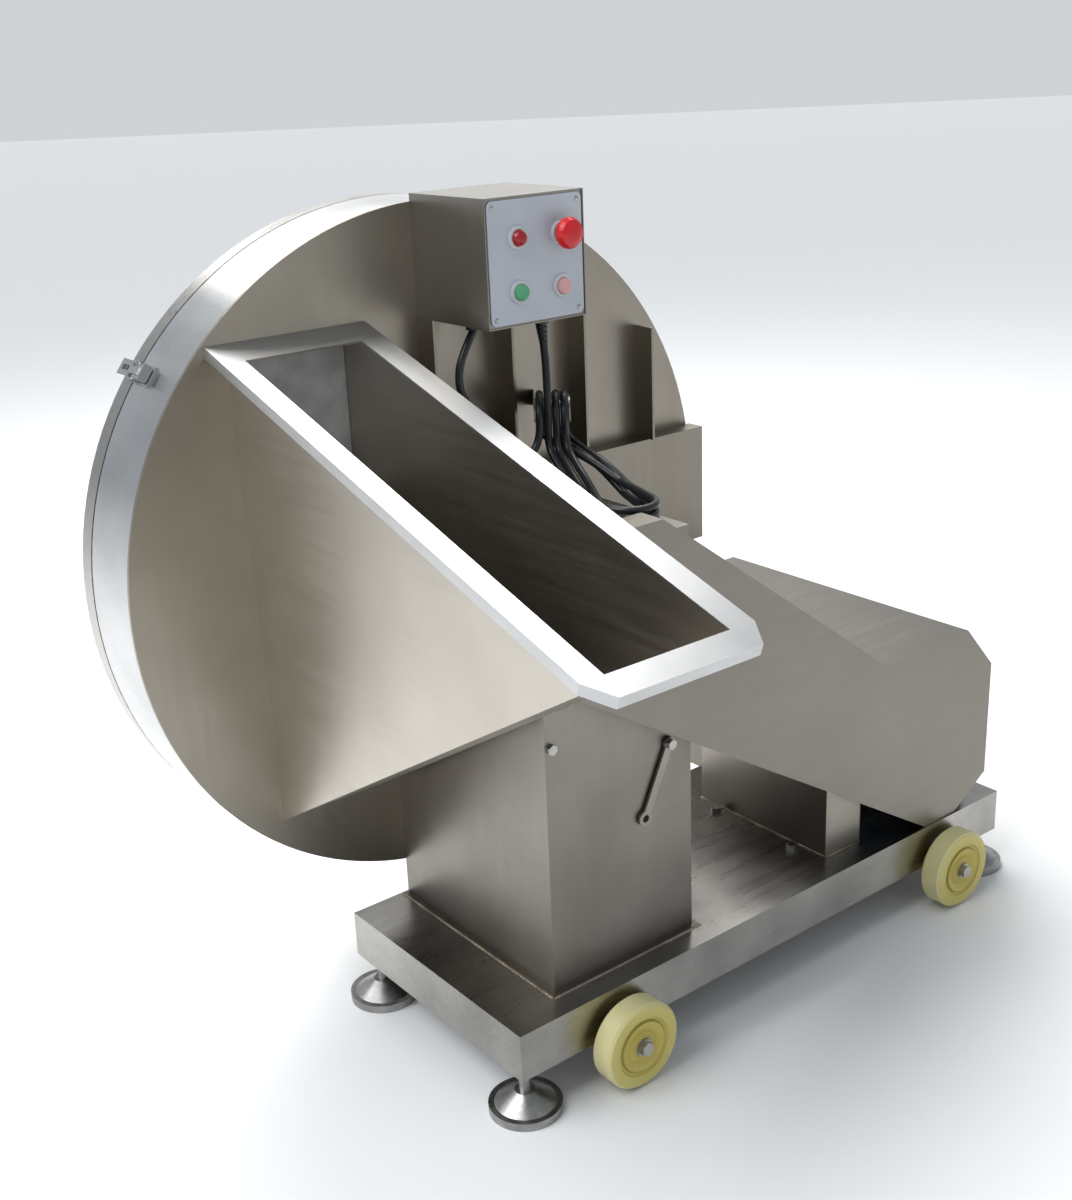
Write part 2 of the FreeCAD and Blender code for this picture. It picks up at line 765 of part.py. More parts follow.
def pulley(x, z, radius, bore):
    outline = [(bore + shaft_gap, pulley_front), (radius, pulley_front)]
    for y in groove_middles():
        outline += [(radius, y - groove_half_top), (radius - groove_depth, y - groove_half_bottom),
                    (radius - groove_depth, y + groove_half_bottom), (radius, y + groove_half_top)]
    outline += [(radius, pulley_front + pulley_width), (bore + shaft_gap, pulley_front + pulley_width)]
    return turned(outline, x, z)


def belt(y):
    """One V-belt: two straight runs and two wraps of the same section."""
    centres = [V(spindle_x, y, spindle_z), V(motor_x, y, motor_z)]
    radii = [spindle_pulley_radius - belt_top_depth, motor_pulley_radius - belt_top_depth]
    across = centres[1] - centres[0]
    heading = math.degrees(math.atan2(across.z, across.x))
    half_wrap = math.degrees(math.acos((radii[0] - radii[1]) / across.Length))

    def section(which, degrees):
        out = V(math.cos(math.radians(degrees)), 0, math.sin(math.radians(degrees)))
        top = centres[which] + out * radii[which]
        low = centres[which] + out * (radii[which] - belt_height)
        return out, face_of([top - BACK * belt_half_top, top + BACK * belt_half_top,
                             low + BACK * belt_half_bottom, low - BACK * belt_half_bottom])
    pieces = []
    for side in (1, -1):
        out, face = section(0, heading + side * half_wrap)
        pieces.append(face.extrude(across + out * (radii[1] - radii[0])))
    out, face = section(0, heading + half_wrap)
    pieces.append(face.revolve(centres[0], BACK * -1, 360 - 2 * half_wrap))
    out, face = section(1, heading - half_wrap)
    pieces.append(face.revolve(centres[1], BACK * -1, 2 * half_wrap))
    return pieces[0].multiFuse(pieces[1:])


def drive_belts():
    return Part.makeCompound([belt(y) for y in groove_middles()])


def motor_body():
    """The motor's frame with its end shields and feet, and the terminal box on top."""
    body = rod_y(motor_x, motor_z, motor_radius, motor_front, motor_back)
    body = body.cut(rod_y(motor_x, motor_z, motor_radius - motor_wall, motor_front + shield_thick,
                          motor_back - shield_thick))
    core = ring_y(motor_x, motor_z, motor_radius - motor_wall, rotor_radius + 1, core_front, core_front + core_length)
    nose = rod_y(motor_x, motor_z, 50.0, motor_front - 12, motor_front)
    foot_z = deck + slide_thick
    y0 = motor_front + 50
    y1 = motor_back - 40
    web = box(motor_x - 70, y0, foot_z, motor_x + 70, y1, motor_z - 50)
    web = web.cut(rod_y(motor_x, motor_z, motor_radius - motor_wall / 2, y0 - 1, y1 + 1))
    soles = box(motor_x - 98, y0, foot_z, motor_x + 98, y1, foot_z + 14)
    frame = fuse([body, core, nose, web, soles])
    frame = frame.cut(rod_y(motor_x, motor_z, motor_shaft_radius + shaft_gap, 0, cover_back))
    return Part.makeCompound([frame, terminal_box()])


def motor_shaft():
    """The shaft with the rotor's core on it."""
    shaft = rod_y(motor_x, motor_z, motor_shaft_radius, pulley_front + 1, motor_back + cowl_length - 15)
    return fuse([shaft, rod_y(motor_x, motor_z, rotor_radius, core_front, core_front + core_length)])


def motor_cowl():
    cup = rod_y(motor_x, motor_z, motor_radius + cowl_sheet, motor_back - 10, motor_back + cowl_length)
    cup = cup.cut(rod_y(motor_x, motor_z, motor_radius, motor_back - 11, motor_back + cowl_length - cowl_sheet))
    holes = []
    for radius, count in ((30, 6), (55, 12), (80, 18)):
        for step in range(count):
            turn = 2 * math.pi * step / count
            holes.append(rod_y(motor_x + radius * math.cos(turn), motor_z + radius * math.sin(turn), 7.0,
                               motor_back + 10, motor_back + cowl_length + 1))
    return cup.cut(Part.makeCompound(holes))


def motor_fan():
    y0 = motor_back + 8
    hub = rod_y(motor_x, motor_z, 30.0, y0, y0 + 26)
    disc = rod_y(motor_x, motor_z, fan_radius, y0, y0 + 3)
    pieces = [hub, disc]
    for blade in range(fan_blades):
        vane = box(motor_x - 1.5, y0 + 2, motor_z + 28, motor_x + 1.5, y0 + 26, motor_z + fan_radius - 2)
        vane.rotate(V(motor_x, 0, motor_z), BACK, 360 / fan_blades * blade)
        pieces.append(vane)
    fan = fuse(pieces)
    return fan.cut(rod_y(motor_x, motor_z, motor_shaft_radius + shaft_gap, y0 - 1, y0 + 30))


def terminal_box():
    block = box(motor_x - terminal_half, motor_front + 80, motor_z + motor_radius - 14, motor_x + terminal_half,
                motor_front + 170, motor_z + motor_radius + terminal_height)
    return block.cut(rod_y(motor_x, motor_z, motor_radius, 0, cover_back))


def motor_slide_plate():
    return box(motor_x - slide_half, motor_front + 30, deck, motor_x + slide_half, motor_back - 20,
               deck + slide_thick)


# ---- guard, cover and post

def guard_slope_x(z):
    """Where the guard's upper slope, which keeps clear of both pulleys' rims, is at height z."""
    radius = spindle_pulley_radius + belt_room_spindle
    across = V(motor_x - spindle_x, 0, motor_z - spindle_z)
    taper = math.acos((radius - motor_pulley_radius - belt_room_motor) / across.Length)
    heading = math.atan2(across.z, across.x) + taper
    return spindle_x + (radius - (z - spindle_z) * math.sin(heading)) / math.cos(heading)


def guard_outline():
    """(x, z) corners of the guard's front, from its lower left end round by the top."""
    end = spindle_pulley_radius + guard_left_of_spindle
    top = spindle_pulley_radius + guard_above_spindle
    right = motor_x + cover_right
    upper = spindle_z + top
    lower = deck + cover_top
    return [(spindle_x - end + guard_low_cut_x, spindle_z - end + guard_low_cut_z),
            (spindle_x - end, spindle_z - end + guard_corner_z), (spindle_x - end, spindle_z + end - guard_corner_z),
            (spindle_x - end + guard_corner_x, upper), (guard_slope_x(upper), upper),
            (guard_slope_x(lower), lower), (right - cover_corner, lower),
            (right, deck + cover_top - cover_shoulder), (right, deck + guard_toe),
            (motor_x + guard_toe_right, deck), (motor_x + guard_toe_left, deck)]


def guard_lower_z(x):
    """Height of the guard's sloping lower edge."""
    x0, z0 = guard_outline()[0]
    x1, z1 = guard_outline()[-1]
    return z0 + (z1 - z0) * (x - x0) / (x1 - x0)


def shrink(outline, inset):
    """The outline moved in by a sheet's thickness."""
    wire = Part.makePolygon([V(x, 0, z) for x, z in outline + outline[:1]])
    inner = wire.makeOffset2D(-inset, 2)
    return [(vertex.X, vertex.Z) for vertex in inner.OrderedVertexes]


def belt_guard():
    """Front plate, edge walls along the belts and a back plate right of the pedestal."""
    outline = guard_outline()
    outer = prism_y(outline, guard_front, pedestal_front)
    inner = prism_y(shrink(outline, sheet), guard_front + sheet, pedestal_front + 1)
    shell = outer.cut(inner)
    right_of_cover = box(motor_x - cover_left, guard_front + sheet, deck, pan_length, pedestal_front + 1, box_top)
    shell = shell.cut(right_of_cover)
    back = prism_y(outline, pedestal_front - sheet, pedestal_front)
    back = back.common(box(pedestal_right + 2, 0, deck, motor_x - cover_left, drum_front, box_top))
    return fuse([shell, back])


def cover_outline(inset):
    x0 = motor_x - cover_left + inset
    x1 = motor_x + cover_right - inset
    z1 = deck + cover_top - inset
    return [(x0, deck), (x0, z1), (x1 - cover_corner + inset / 2, z1), (x1, z1 - cover_shoulder + inset / 2),
            (x1, deck)]


def motor_cover():
    """A five-sided cover over the motor, open below and at the front behind the guard's plate."""
    y0 = guard_front + sheet
    outer = prism_y(cover_outline(0), y0, cover_back)
    inner = prism_y([(x, z - (1 if z == deck else 0)) for x, z in cover_outline(sheet)], y0 - 1, cover_back - sheet)
    cover = outer.cut(inner)
    belts_way = box(motor_x - cover_left - 1, y0 - 1, deck - 1, motor_x - cover_left + sheet + 1, pedestal_front,
                    deck + cover_top - sheet)
    cover = cover.cut(belts_way)
    toe = box(motor_x + 70, y0 - 1, deck - 1, pan_length, pedestal_front, deck + guard_toe)
    cover = cover.cut(toe)
    vents = []
    for row in range(8):
        z = deck + 60 + 22 * row
        vents.append(box(motor_x - 60, cover_back - sheet - 1, z, motor_x + 60, cover_back + 1, z + 7))
    return cover.cut(Part.makeCompound(vents))


def cover_post():
    """An upright box of sheet that carries the guard's back plate."""
    x1 = motor_x - cover_left
    x0 = x1 - post_width
    y0 = pedestal_front
    t = sheet
    outer = box(x0, y0, deck, x1, y0 + post_depth, deck + post_height)
    return outer.cut(box(x0 + t, y0 + t, deck - 1, x1 - t, y0 + post_depth - t, deck + post_height - t))


def fixing_bolts():
    """Hex heads on the deck beside the post and along the motor's slide plate, and the pedestal's screws."""
    x0 = motor_x - cover_left - post_width - 16
    places = [(x0, pedestal_front + 54, deck), (x0, pedestal_front + 220, deck)]
    for y in (motor_front + 42, motor_back - 32):
        for side in (-1, 1):
            places.append((motor_x + side * 85, y, deck + slide_thick))
    heads = [hexagon(V(x, y, z), 16.0, 0, 8.0, UP) for x, y, z in places]
    return Part.makeCompound(heads + pedestal_screws())


# ---- hopper

def hopper_left_x(y, z):
    """The left wall leans: further out at the rim than at the hopper's lowest corner."""
    top = rim_rear_z - (drum_front - y) * math.tan(math.radians(rim_slope))
    lean = (hopper_left - hopper_left_low) / (rim_rear_z - hopper_floor_z)
    return spindle_x - hopper_left + lean * (top - z)


def top_at_tip():
    return rim_rear_z - hopper_reach * math.tan(math.radians(rim_slope))


def hopper_wedge(inset, over):
    """A wedge with a flat right side and a leaning left side, smaller by inset, taller by over."""
    drop = rim_thick / math.cos(math.radians(rim_slope))
    rise = inset * math.hypot(hopper_reach, top_at_tip() - hopper_floor_z) / hopper_reach
    tip_y = drum_front - hopper_reach
    rear_y = drum_front + (1 if inset else 0)
    slope = (top_at_tip() - drop - hopper_floor_z) / hopper_reach
    profile = [(tip_y, top_at_tip() - drop + rise), (rear_y, hopper_floor_z + rise - slope * (rear_y - drum_front)),
               (rear_y, rim_rear_z - drop + over)]
    if over:
        profile.append((tip_y, top_at_tip() - drop + rise + over))
    left = [V(hopper_left_x(y, z) + inset, y, z) for y, z in profile]
    right = [V(spindle_x - hopper_right - inset, y, z) for y, z in profile]
    faces = [face_of(left), face_of(right)]
    for index in range(len(profile)):
        after = (index + 1) % len(profile)
        faces.append(face_of([left[index], left[after], right[after], right[index]]))
    return Part.Solid(Part.Shell(faces))


def hopper_body():
    """Two side walls and the sloping floor, welded to the drum's front plate."""
    outer = hopper_wedge(0, 0)
    inner = hopper_wedge(hopper_sheet, 200)
    return outer.cut(inner)


def hopper_rim():
    """A flat folded frame round the hopper's top, with a turned-down outer lip and cut front corners."""
    length = (hopper_reach + rim_front_over) / math.cos(math.radians(rim_slope))
    past = 40.0
    x0 = spindle_x - rim_left
    x1 = spindle_x - rim_right

    def outline(inset):
        return [(x0 + inset, past), (x0 + inset, -length + rim_chamfer_y + inset / 2),
                (x0 + rim_chamfer_x + inset / 2, -length + inset), (x1 - rim_chamfer_x - inset / 2, -length + inset),
                (x1 - inset, -length + rim_chamfer_y + inset / 2), (x1 - inset, past)]
    plate = prism_z(outline(0), -rim_lip, 0)
    plate = plate.cut(prism_z(outline(rim_thick), -rim_lip - 1, -rim_thick))
    opening = box(spindle_x - hopper_left + hopper_sheet, -length + rim_front_bar, -rim_lip - 1,
                  spindle_x - hopper_right - hopper_sheet, -rim_rear_bar, 1)
    plate = plate.cut(opening)
    plate.rotate(V(0, 0, 0), ACROSS, rim_slope)
    plate.translate(V(0, drum_front, rim_rear_z))
    return plate.cut(box(x0 - 50, drum_front, 0, x1 + 50, drum_front + 100, rim_rear_z + 200))


# ---- control box

def control_box():
    x1 = box_x + box_width
    t = box_sheet
    outer = box(box_x, box_front, box_bottom, x1, drum_front, box_top)
    shell = outer.cut(box(box_x + t, box_front - 1, box_bottom + t, x1 - t, drum_front - t, box_top - t))
    for name, x, y, z in lead_glands():
        if z == box_bottom:
            shell = shell.cut(rod_z(x, y, gland_radius - 3 + shaft_gap, box_bottom - 1, box_bottom + t + 1))
    return fuse([shell, panel_frame()])


def rounded_plate(x0, z0, x1, z1, y0, y1):
    plate = box(x0, y0, z0, x1, y1, z1)
    upright = [edge for edge in plate.Edges if abs(edge.tangentAt(edge.FirstParameter).y) > 0.9]
    return plate.makeFillet(panel_corner, upright)


def control_panel():
    """The lighter front plate, set in a narrow seam, with four round holes."""
    inset = box_sheet + panel_seam
    plate = rounded_plate(box_x + inset, box_bottom + inset, box_x + box_width - inset, box_top - inset,
                          box_front, box_front + panel_thick)
    for x in button_columns:
        for z in button_rows:
            plate = plate.cut(rod_y(x, z, panel_hole, box_front - 1, box_front + panel_thick + 1))
    return plate


def panel_frame():
    """Four angle strips inside the box that the panel is screwed to."""
    t = box_sheet
    y0 = box_front + panel_thick
    outer = box(box_x + t, y0, box_bottom + t, box_x + box_width - t, y0 + 3, box_top - t)
    inner = box(box_x + 12, y0 - 1, box_bottom + 12, box_x + box_width - 12, y0 + 4, box_top - 12)
    return outer.cut(inner)


def bezel(x, z):
    """A collar in front of the panel with its barrel through the hole."""
    outline = [(bezel_bore, box_front - bezel_thick), (bezel_radius - 1, box_front - bezel_thick),
               (bezel_radius, box_front - bezel_thick + 1), (bezel_radius, box_front), (bezel_barrel, box_front),
               (bezel_barrel, block_front), (stem_bore, block_front), (stem_bore, box_front + 2),
               (bezel_bore, box_front + 2)]
    return turned(outline, x, z)


def button_bezels():
    return Part.makeCompound([bezel(x, z) for x in button_columns for z in button_rows])


def pilot_lamp():
    """A domed red lens on its lamp holder."""
    x, z = button_columns[0], button_rows[0]
    y0 = box_front - bezel_thick
    outline = [(0, y0 - 9), (5.0, y0 - 8.4), (8.5, y0 - 6), (cap_radius, y0 - 2), (cap_radius, box_front + 2),
               (stem_radius, box_front + 2), (stem_radius, box_front + 40), (0, box_front + 40)]
    return turned(outline, x, z)


def push_button(x):
    """A flat cap and its stem, which slides in the bezel."""
    y0 = box_front - bezel_thick - button_travel - 1
    rest = box_front + 1.5 - button_travel
    end = block_front - free_gap - button_travel
    outline = [(0, y0 + 0.6), (cap_radius - 2, y0), (cap_radius, y0 + 1.2), (cap_radius, rest), (stem_radius, rest),
               (stem_radius, end), (0, end)]
    return turned(outline, x, button_rows[1])


def estop_stem():
    x, z = button_columns[1], button_rows[0]
    rod = rod_y(x, z, stem_radius, box_front - 12, block_front - free_gap - estop_travel)
    return fuse([rod, rod_y(x, z, 5.0, box_front - 20, box_front - 12)])


def estop_head():
    """A mushroom head that twists on the stem's end."""
    x, z = button_columns[1], button_rows[0]
    y0 = box_front - 30
    outline = [(0, y0), (10.0, y0 + 1), (estop_radius - 3, y0 + 4), (estop_radius, y0 + 9), (estop_radius, y0 + 14),
               (estop_radius - 3, y0 + 16), (12.0, y0 + 18 - free_gap), (5.0 + shaft_gap, y0 + 18 - free_gap),
               (5.0 + shaft_gap, y0 + 9.5), (0, y0 + 9.5)]
    return turned(outline, x, z)


def contact_blocks():
    """The switch blocks behind the panel, one for each button."""
    blocks = []
    for x in button_columns:
        for z in button_rows:
            lamp = x == button_columns[0] and z == button_rows[0]
            y0 = box_front + 40 if lamp else block_front
            blocks.append(box(x - 15, y0, z - 20, x + 15, y0 + 38, z + 20))
    return Part.makeCompound(blocks)


# ---- cables
# Routes are lists of points of each cable's middle line, chosen by hand

def lead_glands():
    """(name, x, y, seat height): two under the control box and one on the pedestal's top."""
    return [("motor_lead_out", box_x + 57, drum_front - 50, box_bottom),
            ("power_cord_out", box_x + box_width - 14, drum_front - 84, box_bottom),
            ("motor_lead_in", pedestal_right - 35, drum_front - 53, pedestal_top)]


def cable_glands():
    glands = []
    for name, x, y, z in lead_glands():
        down = z == box_bottom
        z0, z1 = (z - gland_length, z) if down else (z, z + gland_length)
        neck = (z, z + 8) if down else (z - 8, z)
        body = fuse([rod_z(x, y, gland_radius, z0, z1), rod_z(x, y, gland_radius - 3, *neck)])
        glands.append(body)
    return Part.makeCompound(glands)


def tube(name, points, diameter):
    """A round cable along straight runs joined by tangent arcs."""
    points = [V(*point) for point in points]
    edges = []
    start = points[0]
    radii = []
    for before, corner, after in zip(points, points[1:], points[2:]):
        back = before - corner
        on = after - corner
        turn = math.pi - back.getAngle(on)
        setback = 0.45 * min(back.Length, on.Length)
        radii.append(setback / math.tan(turn / 2))
        back.normalize()
        on.normalize()
        enter = corner + back * setback
        leave = corner + on * setback
        inward = (back + on).normalize()
        centre = corner + inward * (radii[-1] / math.cos(turn / 2))
        middle_point = centre - inward * radii[-1]
        edges.append(Part.LineSegment(start, enter).toShape())
        edges.append(Part.Arc(enter, middle_point, leave).toShape())
        start = leave
    edges.append(Part.LineSegment(start, points[-1]).toShape())
    path = Part.Wire(edges)
    first = points[1] - points[0]
    section = Part.Wire(Part.makeCircle(diameter / 2, points[0], first))
    solid = path.makePipeShell([section], True, True)
    expected = math.pi * diameter ** 2 / 4 * path.Length
    print(name, "smallest radius", round(min(radii), 1), "length", round(path.Length, 1), "volume share",
          round(solid.Volume / expected, 4))
    return solid


motor_lead_route = [(235.0, 344.0, box_bottom - gland_length), (213.0, 344.0, 939.0), (204.0, 344.0, 908.0),
                    (211.0, 344.0, 878.0), (234.0, 343.0, 852.0), (264.0, 342.0, 829.0), (292.0, 341.0, 806.0),
                    (307.0, 341.0, 781.0), (310.0, 341.0, pedestal_top + gland_length)]
power_cord_route = [(324.0, 310.0, box_bottom - gland_length), (325.5, 307.5, 938.0), (322.5, 301.0, 902.0),
                    (318.3, 295.5, 866.0), (317.8, 295.0, 846.0)]
cord_tail_route = [(310.0, 304.0, 850.0), (300.0, 302.0, 827.0), (284.0, 302.0, 803.0), (262.0, 300.0, 781.0),
                   (235.0, 296.0, 766.0), (207.0, 290.5, plug_rest), (177.0, 284.5, plug_rest)]
# The hank's middle line: point, heading in the floor's plane, dip below level, half-width and half-depth
hank_stations = [((343.0, 318.0, saddle_axis_z - lying_gap), 232.5, 90.0, 23.0, 39.5),
                 ((354.0, 293.0, 805.0), 238.0, 62.0, 33.0, 28.0),
                 ((352.0, 252.0, 783.0), 248.0, 32.0, 39.0, 20.0), ((337.0, 203.0, 760.5), 251.0, 10.0, 45.0, 22.0),
                 ((315.0, 150.0, 757.5), 246.0, 0.0, 45.0, 20.0), ((293.0, 106.0, 757.5), 243.0, 0.0, 43.0, 20.0),
                 ((279.0, 78.0, 757.0), 243.0, 0.0, 32.0, 18.0), ((273.0, 66.0, 756.5), 243.0, 0.0, 15.0, 12.0)]


def hank_frame(station):
    """Origin, across, lift and forward of one station of the hank."""
    point, heading, dip = station[:3]
    ahead = V(math.cos(math.radians(heading)), math.sin(math.radians(heading)), 0)
    across = ahead.cross(UP)
    lift = UP * math.cos(math.radians(dip)) - ahead * math.sin(math.radians(dip))
    return V(*point), across * -1, lift


def saddle_frame():
    """The saddle's axis lies across the hank's top, one bend radius under the loops."""
    point, across, lift = hank_frame(hank_stations[0])
    return V(point.x, point.y, saddle_axis_z), across, lift


def cord_hank():
    """The bundle of cord as one solid: loops over the saddle, then a drape down to the pedestal's top."""
    outlines = []
    for station in reversed(hank_stations):
        point, across, lift = hank_frame(station)
        half_width, half_depth = station[3:]
        corners = []
        for step in range(outline_points):
            turn = 2 * math.pi * (step + 0.5) / outline_points
            wide = math.copysign(abs(math.cos(turn)) ** outline_power, math.cos(turn))
            deep = math.copysign(abs(math.sin(turn)) ** outline_power, math.sin(turn))
            corners.append(point + across * (half_width * wide) - lift * (half_depth * deep))
        outlines.append(Part.makePolygon(corners + corners[:1]))
    drape = Part.makeLoft(outlines, True, True)
    origin, across, lift = saddle_frame()
    half_width, half_depth = hank_stations[0][3:]
    start = origin - across * (half_width - loop_inset)
    width = 2 * (half_width - loop_inset)
    loops = Part.makeCylinder(half_depth, width, start, across)
    loops = loops.cut(Part.makeCylinder(saddle_radius + lying_gap, width, start, across))
    below = box(0, 0, origin.z - half_depth - 1, pan_length, drum_front, origin.z - lying_gap - loop_seat)
    return fuse([drape, loops.cut(below)])


def cord_saddle():
    """A half-round saddle that the cord hangs over, on a flat arm from the drum's front plate."""
    origin, across, lift = saddle_frame()
    half = saddle_width / 2
    t = saddle_sheet
    start = origin - across * half
    shell = Part.makeCylinder(saddle_radius, saddle_width, start, across)
    shell = shell.cut(Part.makeCylinder(saddle_radius - t, saddle_width + 2, start - across, across))
    low = origin.z - saddle_radius
    shell = shell.cut(box(0, 0, low - 1, pan_length, drum_front, origin.z))
    cheek = Part.makeCylinder(saddle_radius, t, start - across * t, across)
    end_stop = Part.makeCylinder(saddle_radius + saddle_lip, t, origin + across * half, across)
    under = box(0, 0, low - saddle_lip - 1, pan_length, drum_front, origin.z)
    arm = face_of([start + UP * 24, start + lift * saddle_arm + UP * 24, start + lift * saddle_arm + UP,
                   start + UP]).extrude(across * -t)
    plate = fuse([cheek.cut(under), end_stop.cut(under), shell, arm])
    return plate.cut(box(0, drum_front, 0, pan_length, drum_front + 200, box_top))


def power_plug():
    """A round three-phase plug: grip, body and collar, lying on the pedestal's top."""
    end = V(*cord_tail_route[-1])
    along = (end - V(*cord_tail_route[-2])).normalize()
    grip = Part.makeCone(13.0, plug_radius - 3, 30, end, along)
    body = Part.makeCylinder(plug_radius, plug_length - 50, end + along * 30, along)
    collar = Part.makeCylinder(plug_radius - 3, 20, end + along * (plug_length - 20), along)
    return fuse([grip, body, collar])


# ---- all pieces

os.makedirs("parts", exist_ok=True)

save("base_pan", base_pan())
save("foot_lock_nuts", foot_lock_nuts())
save("wheel_axles", wheel_axles())
for name, x, y in foot_places():
    save("foot_" + name, foot(x, y))
for name, x, out, face in wheel_places():
    save("wheel_" + name, wheel(x, out, face))
save("pedestal", pedestal())
save("clamp_lever", clamp_lever())
save("drum_front_plate", drum_front_plate())
save("drum_band", drum_band())
save("front_stiffeners", front_stiffeners())
save("rear_door", rear_door())
save("door_gasket", door_gasket())
save("discharge_chute", discharge_chute())
save("door_hinge_fixed", door_hinge_fixed())
save("door_hinge_moving", door_hinge_moving())
save("latch_base", latch_base())
save("latch_lever", latch_lever())
save("latch_claw", latch_claw())
save("cutter_disc", cutter_disc())
save("knives", knives())
save("knife_screws", knife_screws())
save("spindle", spindle())
save("disc_nut", disc_nut())
save("bearing_units", bearing_units())
save("spindle_pulley", pulley(spindle_x, spindle_z, spindle_pulley_radius, spindle_end_radius))
save("motor_pulley", pulley(motor_x, motor_z, motor_pulley_radius, motor_shaft_radius))
save("drive_belts", drive_belts())
save("motor_body", motor_body())
save("motor_shaft", motor_shaft())
save("motor_cowl", motor_cowl())
save("motor_fan", motor_fan())
save("motor_slide_plate", motor_slide_plate())
save("belt_guard", belt_guard())
save("motor_cover", motor_cover())
save("cover_post", cover_post())
save("fixing_bolts", fixing_bolts())
save("hopper_body", hopper_body())
save("hopper_rim", hopper_rim())
save("control_box", control_box())
save("control_panel", control_panel())
save("button_bezels", button_bezels())
save("pilot_lamp", pilot_lamp())
save("start_button", push_button(button_columns[0]))
save("stop_button", push_button(button_columns[1]))
save("estop_stem", estop_stem())
save("estop_head", estop_head())
save("contact_blocks", contact_blocks())
save("cable_glands", cable_glands())
save("motor_lead", tube("motor_lead", motor_lead_route, cable_diameter))
save("power_cord", tube("power_cord", power_cord_route, cable_diameter))
save("cord_tail", tube("cord_tail", cord_tail_route, cable_diameter))
save("cord_hank", cord_hank())
save("cord_saddle", cord_saddle())
save("power_plug", power_plug())
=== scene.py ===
import math

import bmesh
import bpy
from mathutils import Matrix, Vector


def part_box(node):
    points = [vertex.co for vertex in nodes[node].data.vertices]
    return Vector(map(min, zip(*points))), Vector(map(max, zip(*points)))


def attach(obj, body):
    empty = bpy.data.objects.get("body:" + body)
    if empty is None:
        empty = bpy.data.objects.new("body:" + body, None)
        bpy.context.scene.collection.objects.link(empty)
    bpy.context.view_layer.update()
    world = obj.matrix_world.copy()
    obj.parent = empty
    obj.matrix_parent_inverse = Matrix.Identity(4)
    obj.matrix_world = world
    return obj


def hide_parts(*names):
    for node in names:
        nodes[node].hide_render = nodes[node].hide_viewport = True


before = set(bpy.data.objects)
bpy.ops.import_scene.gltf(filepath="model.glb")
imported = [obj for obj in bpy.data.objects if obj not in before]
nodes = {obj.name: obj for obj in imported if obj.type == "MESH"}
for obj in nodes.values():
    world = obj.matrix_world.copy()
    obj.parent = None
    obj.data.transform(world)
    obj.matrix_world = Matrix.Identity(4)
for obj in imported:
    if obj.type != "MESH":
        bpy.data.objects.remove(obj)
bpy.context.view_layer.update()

# Camera: at a standing adult's eye height, off the front left corner, looking down across the hopper's
# mouth. The view is long enough that the drum stays almost round.
camera_place = Vector((-1.3317, -1.4569, 1.3287))
camera_data = bpy.data.cameras.new("camera")
camera_data.sensor_fit = "HORIZONTAL"
camera_data.sensor_width = 36
camera_data.lens = 50.99
camera_data.clip_end = 200
camera = bpy.data.objects.new("camera", camera_data)
turns = (Matrix.Rotation(math.radians(-37.504), 4, "Z") @ Matrix.Rotation(math.radians(69.89), 4, "X")
         @ Matrix.Rotation(math.radians(-2.5), 4, "Z"))
camera.matrix_world = Matrix.Translation(camera_place) @ turns
bpy.context.scene.collection.objects.link(camera)
bpy.context.scene.camera = camera

# Floor and light: a plain pale floor with a backdrop that leans back behind it, and a dim even sky. A cool
# window light stands at the left, a long ceiling light behind, and a wide soft sun at the upper left.
def blank(name, colour, metallic, roughness):
    """A new material with its principled shader's constants set."""
    made = bpy.data.materials.new(name)
    made.use_nodes = True
    shader = made.node_tree.nodes["Principled BSDF"]
    shader.inputs["Base Color"].default_value = (*colour, 1)
    shader.inputs["Metallic"].default_value = metallic
    shader.inputs["Roughness"].default_value = roughness
    return made


def settled(name, shape, paint):
    """An object in the scene from a finished bmesh and its material."""
    data = bpy.data.meshes.new(name)
    shape.to_mesh(data)
    shape.free()
    data.materials.append(paint)
    made = bpy.data.objects.new(name, data)
    bpy.context.scene.collection.objects.link(made)
    return made


floor_paint = blank("floor_paint", (0.82, 0.82, 0.82), 0.0, 0.9)
floor_shape = bmesh.new()
bmesh.ops.create_grid(floor_shape, x_segments=1, y_segments=1, size=60)
floor = settled("floor", floor_shape, floor_paint)
backdrop_place = (Matrix.Rotation(math.radians(-37.5), 4, "Z") @ Matrix.Translation((0, 28, 0))
                  @ Matrix.Rotation(math.radians(60), 4, "X"))
backdrop_shape = bmesh.new()
bmesh.ops.create_grid(backdrop_shape, x_segments=1, y_segments=1, size=40, matrix=backdrop_place)
backdrop = settled("backdrop", backdrop_shape, floor_paint)
world = bpy.data.worlds.new("sky")
world.use_nodes = True
world.node_tree.nodes["Background"].inputs["Color"].default_value = (0.86, 0.93, 1.0, 1)
world.node_tree.nodes["Background"].inputs["Strength"].default_value = 0.45
bpy.context.scene.world = world
bpy.context.scene.view_settings.view_transform = "Standard"


def soft_light(name, place, target, width, depth, power, colour):
    """A rectangular area light at place that faces target."""
    data = bpy.data.lights.new(name, "AREA")
    data.shape = "RECTANGLE"
    data.size = width
    data.size_y = depth
    data.energy = power
    data.color = colour
    light = bpy.data.objects.new(name, data)
    light.rotation_euler = (Vector(target) - Vector(place)).to_track_quat("-Z", "Y").to_euler()
    light.location = place
    bpy.context.scene.collection.objects.link(light)


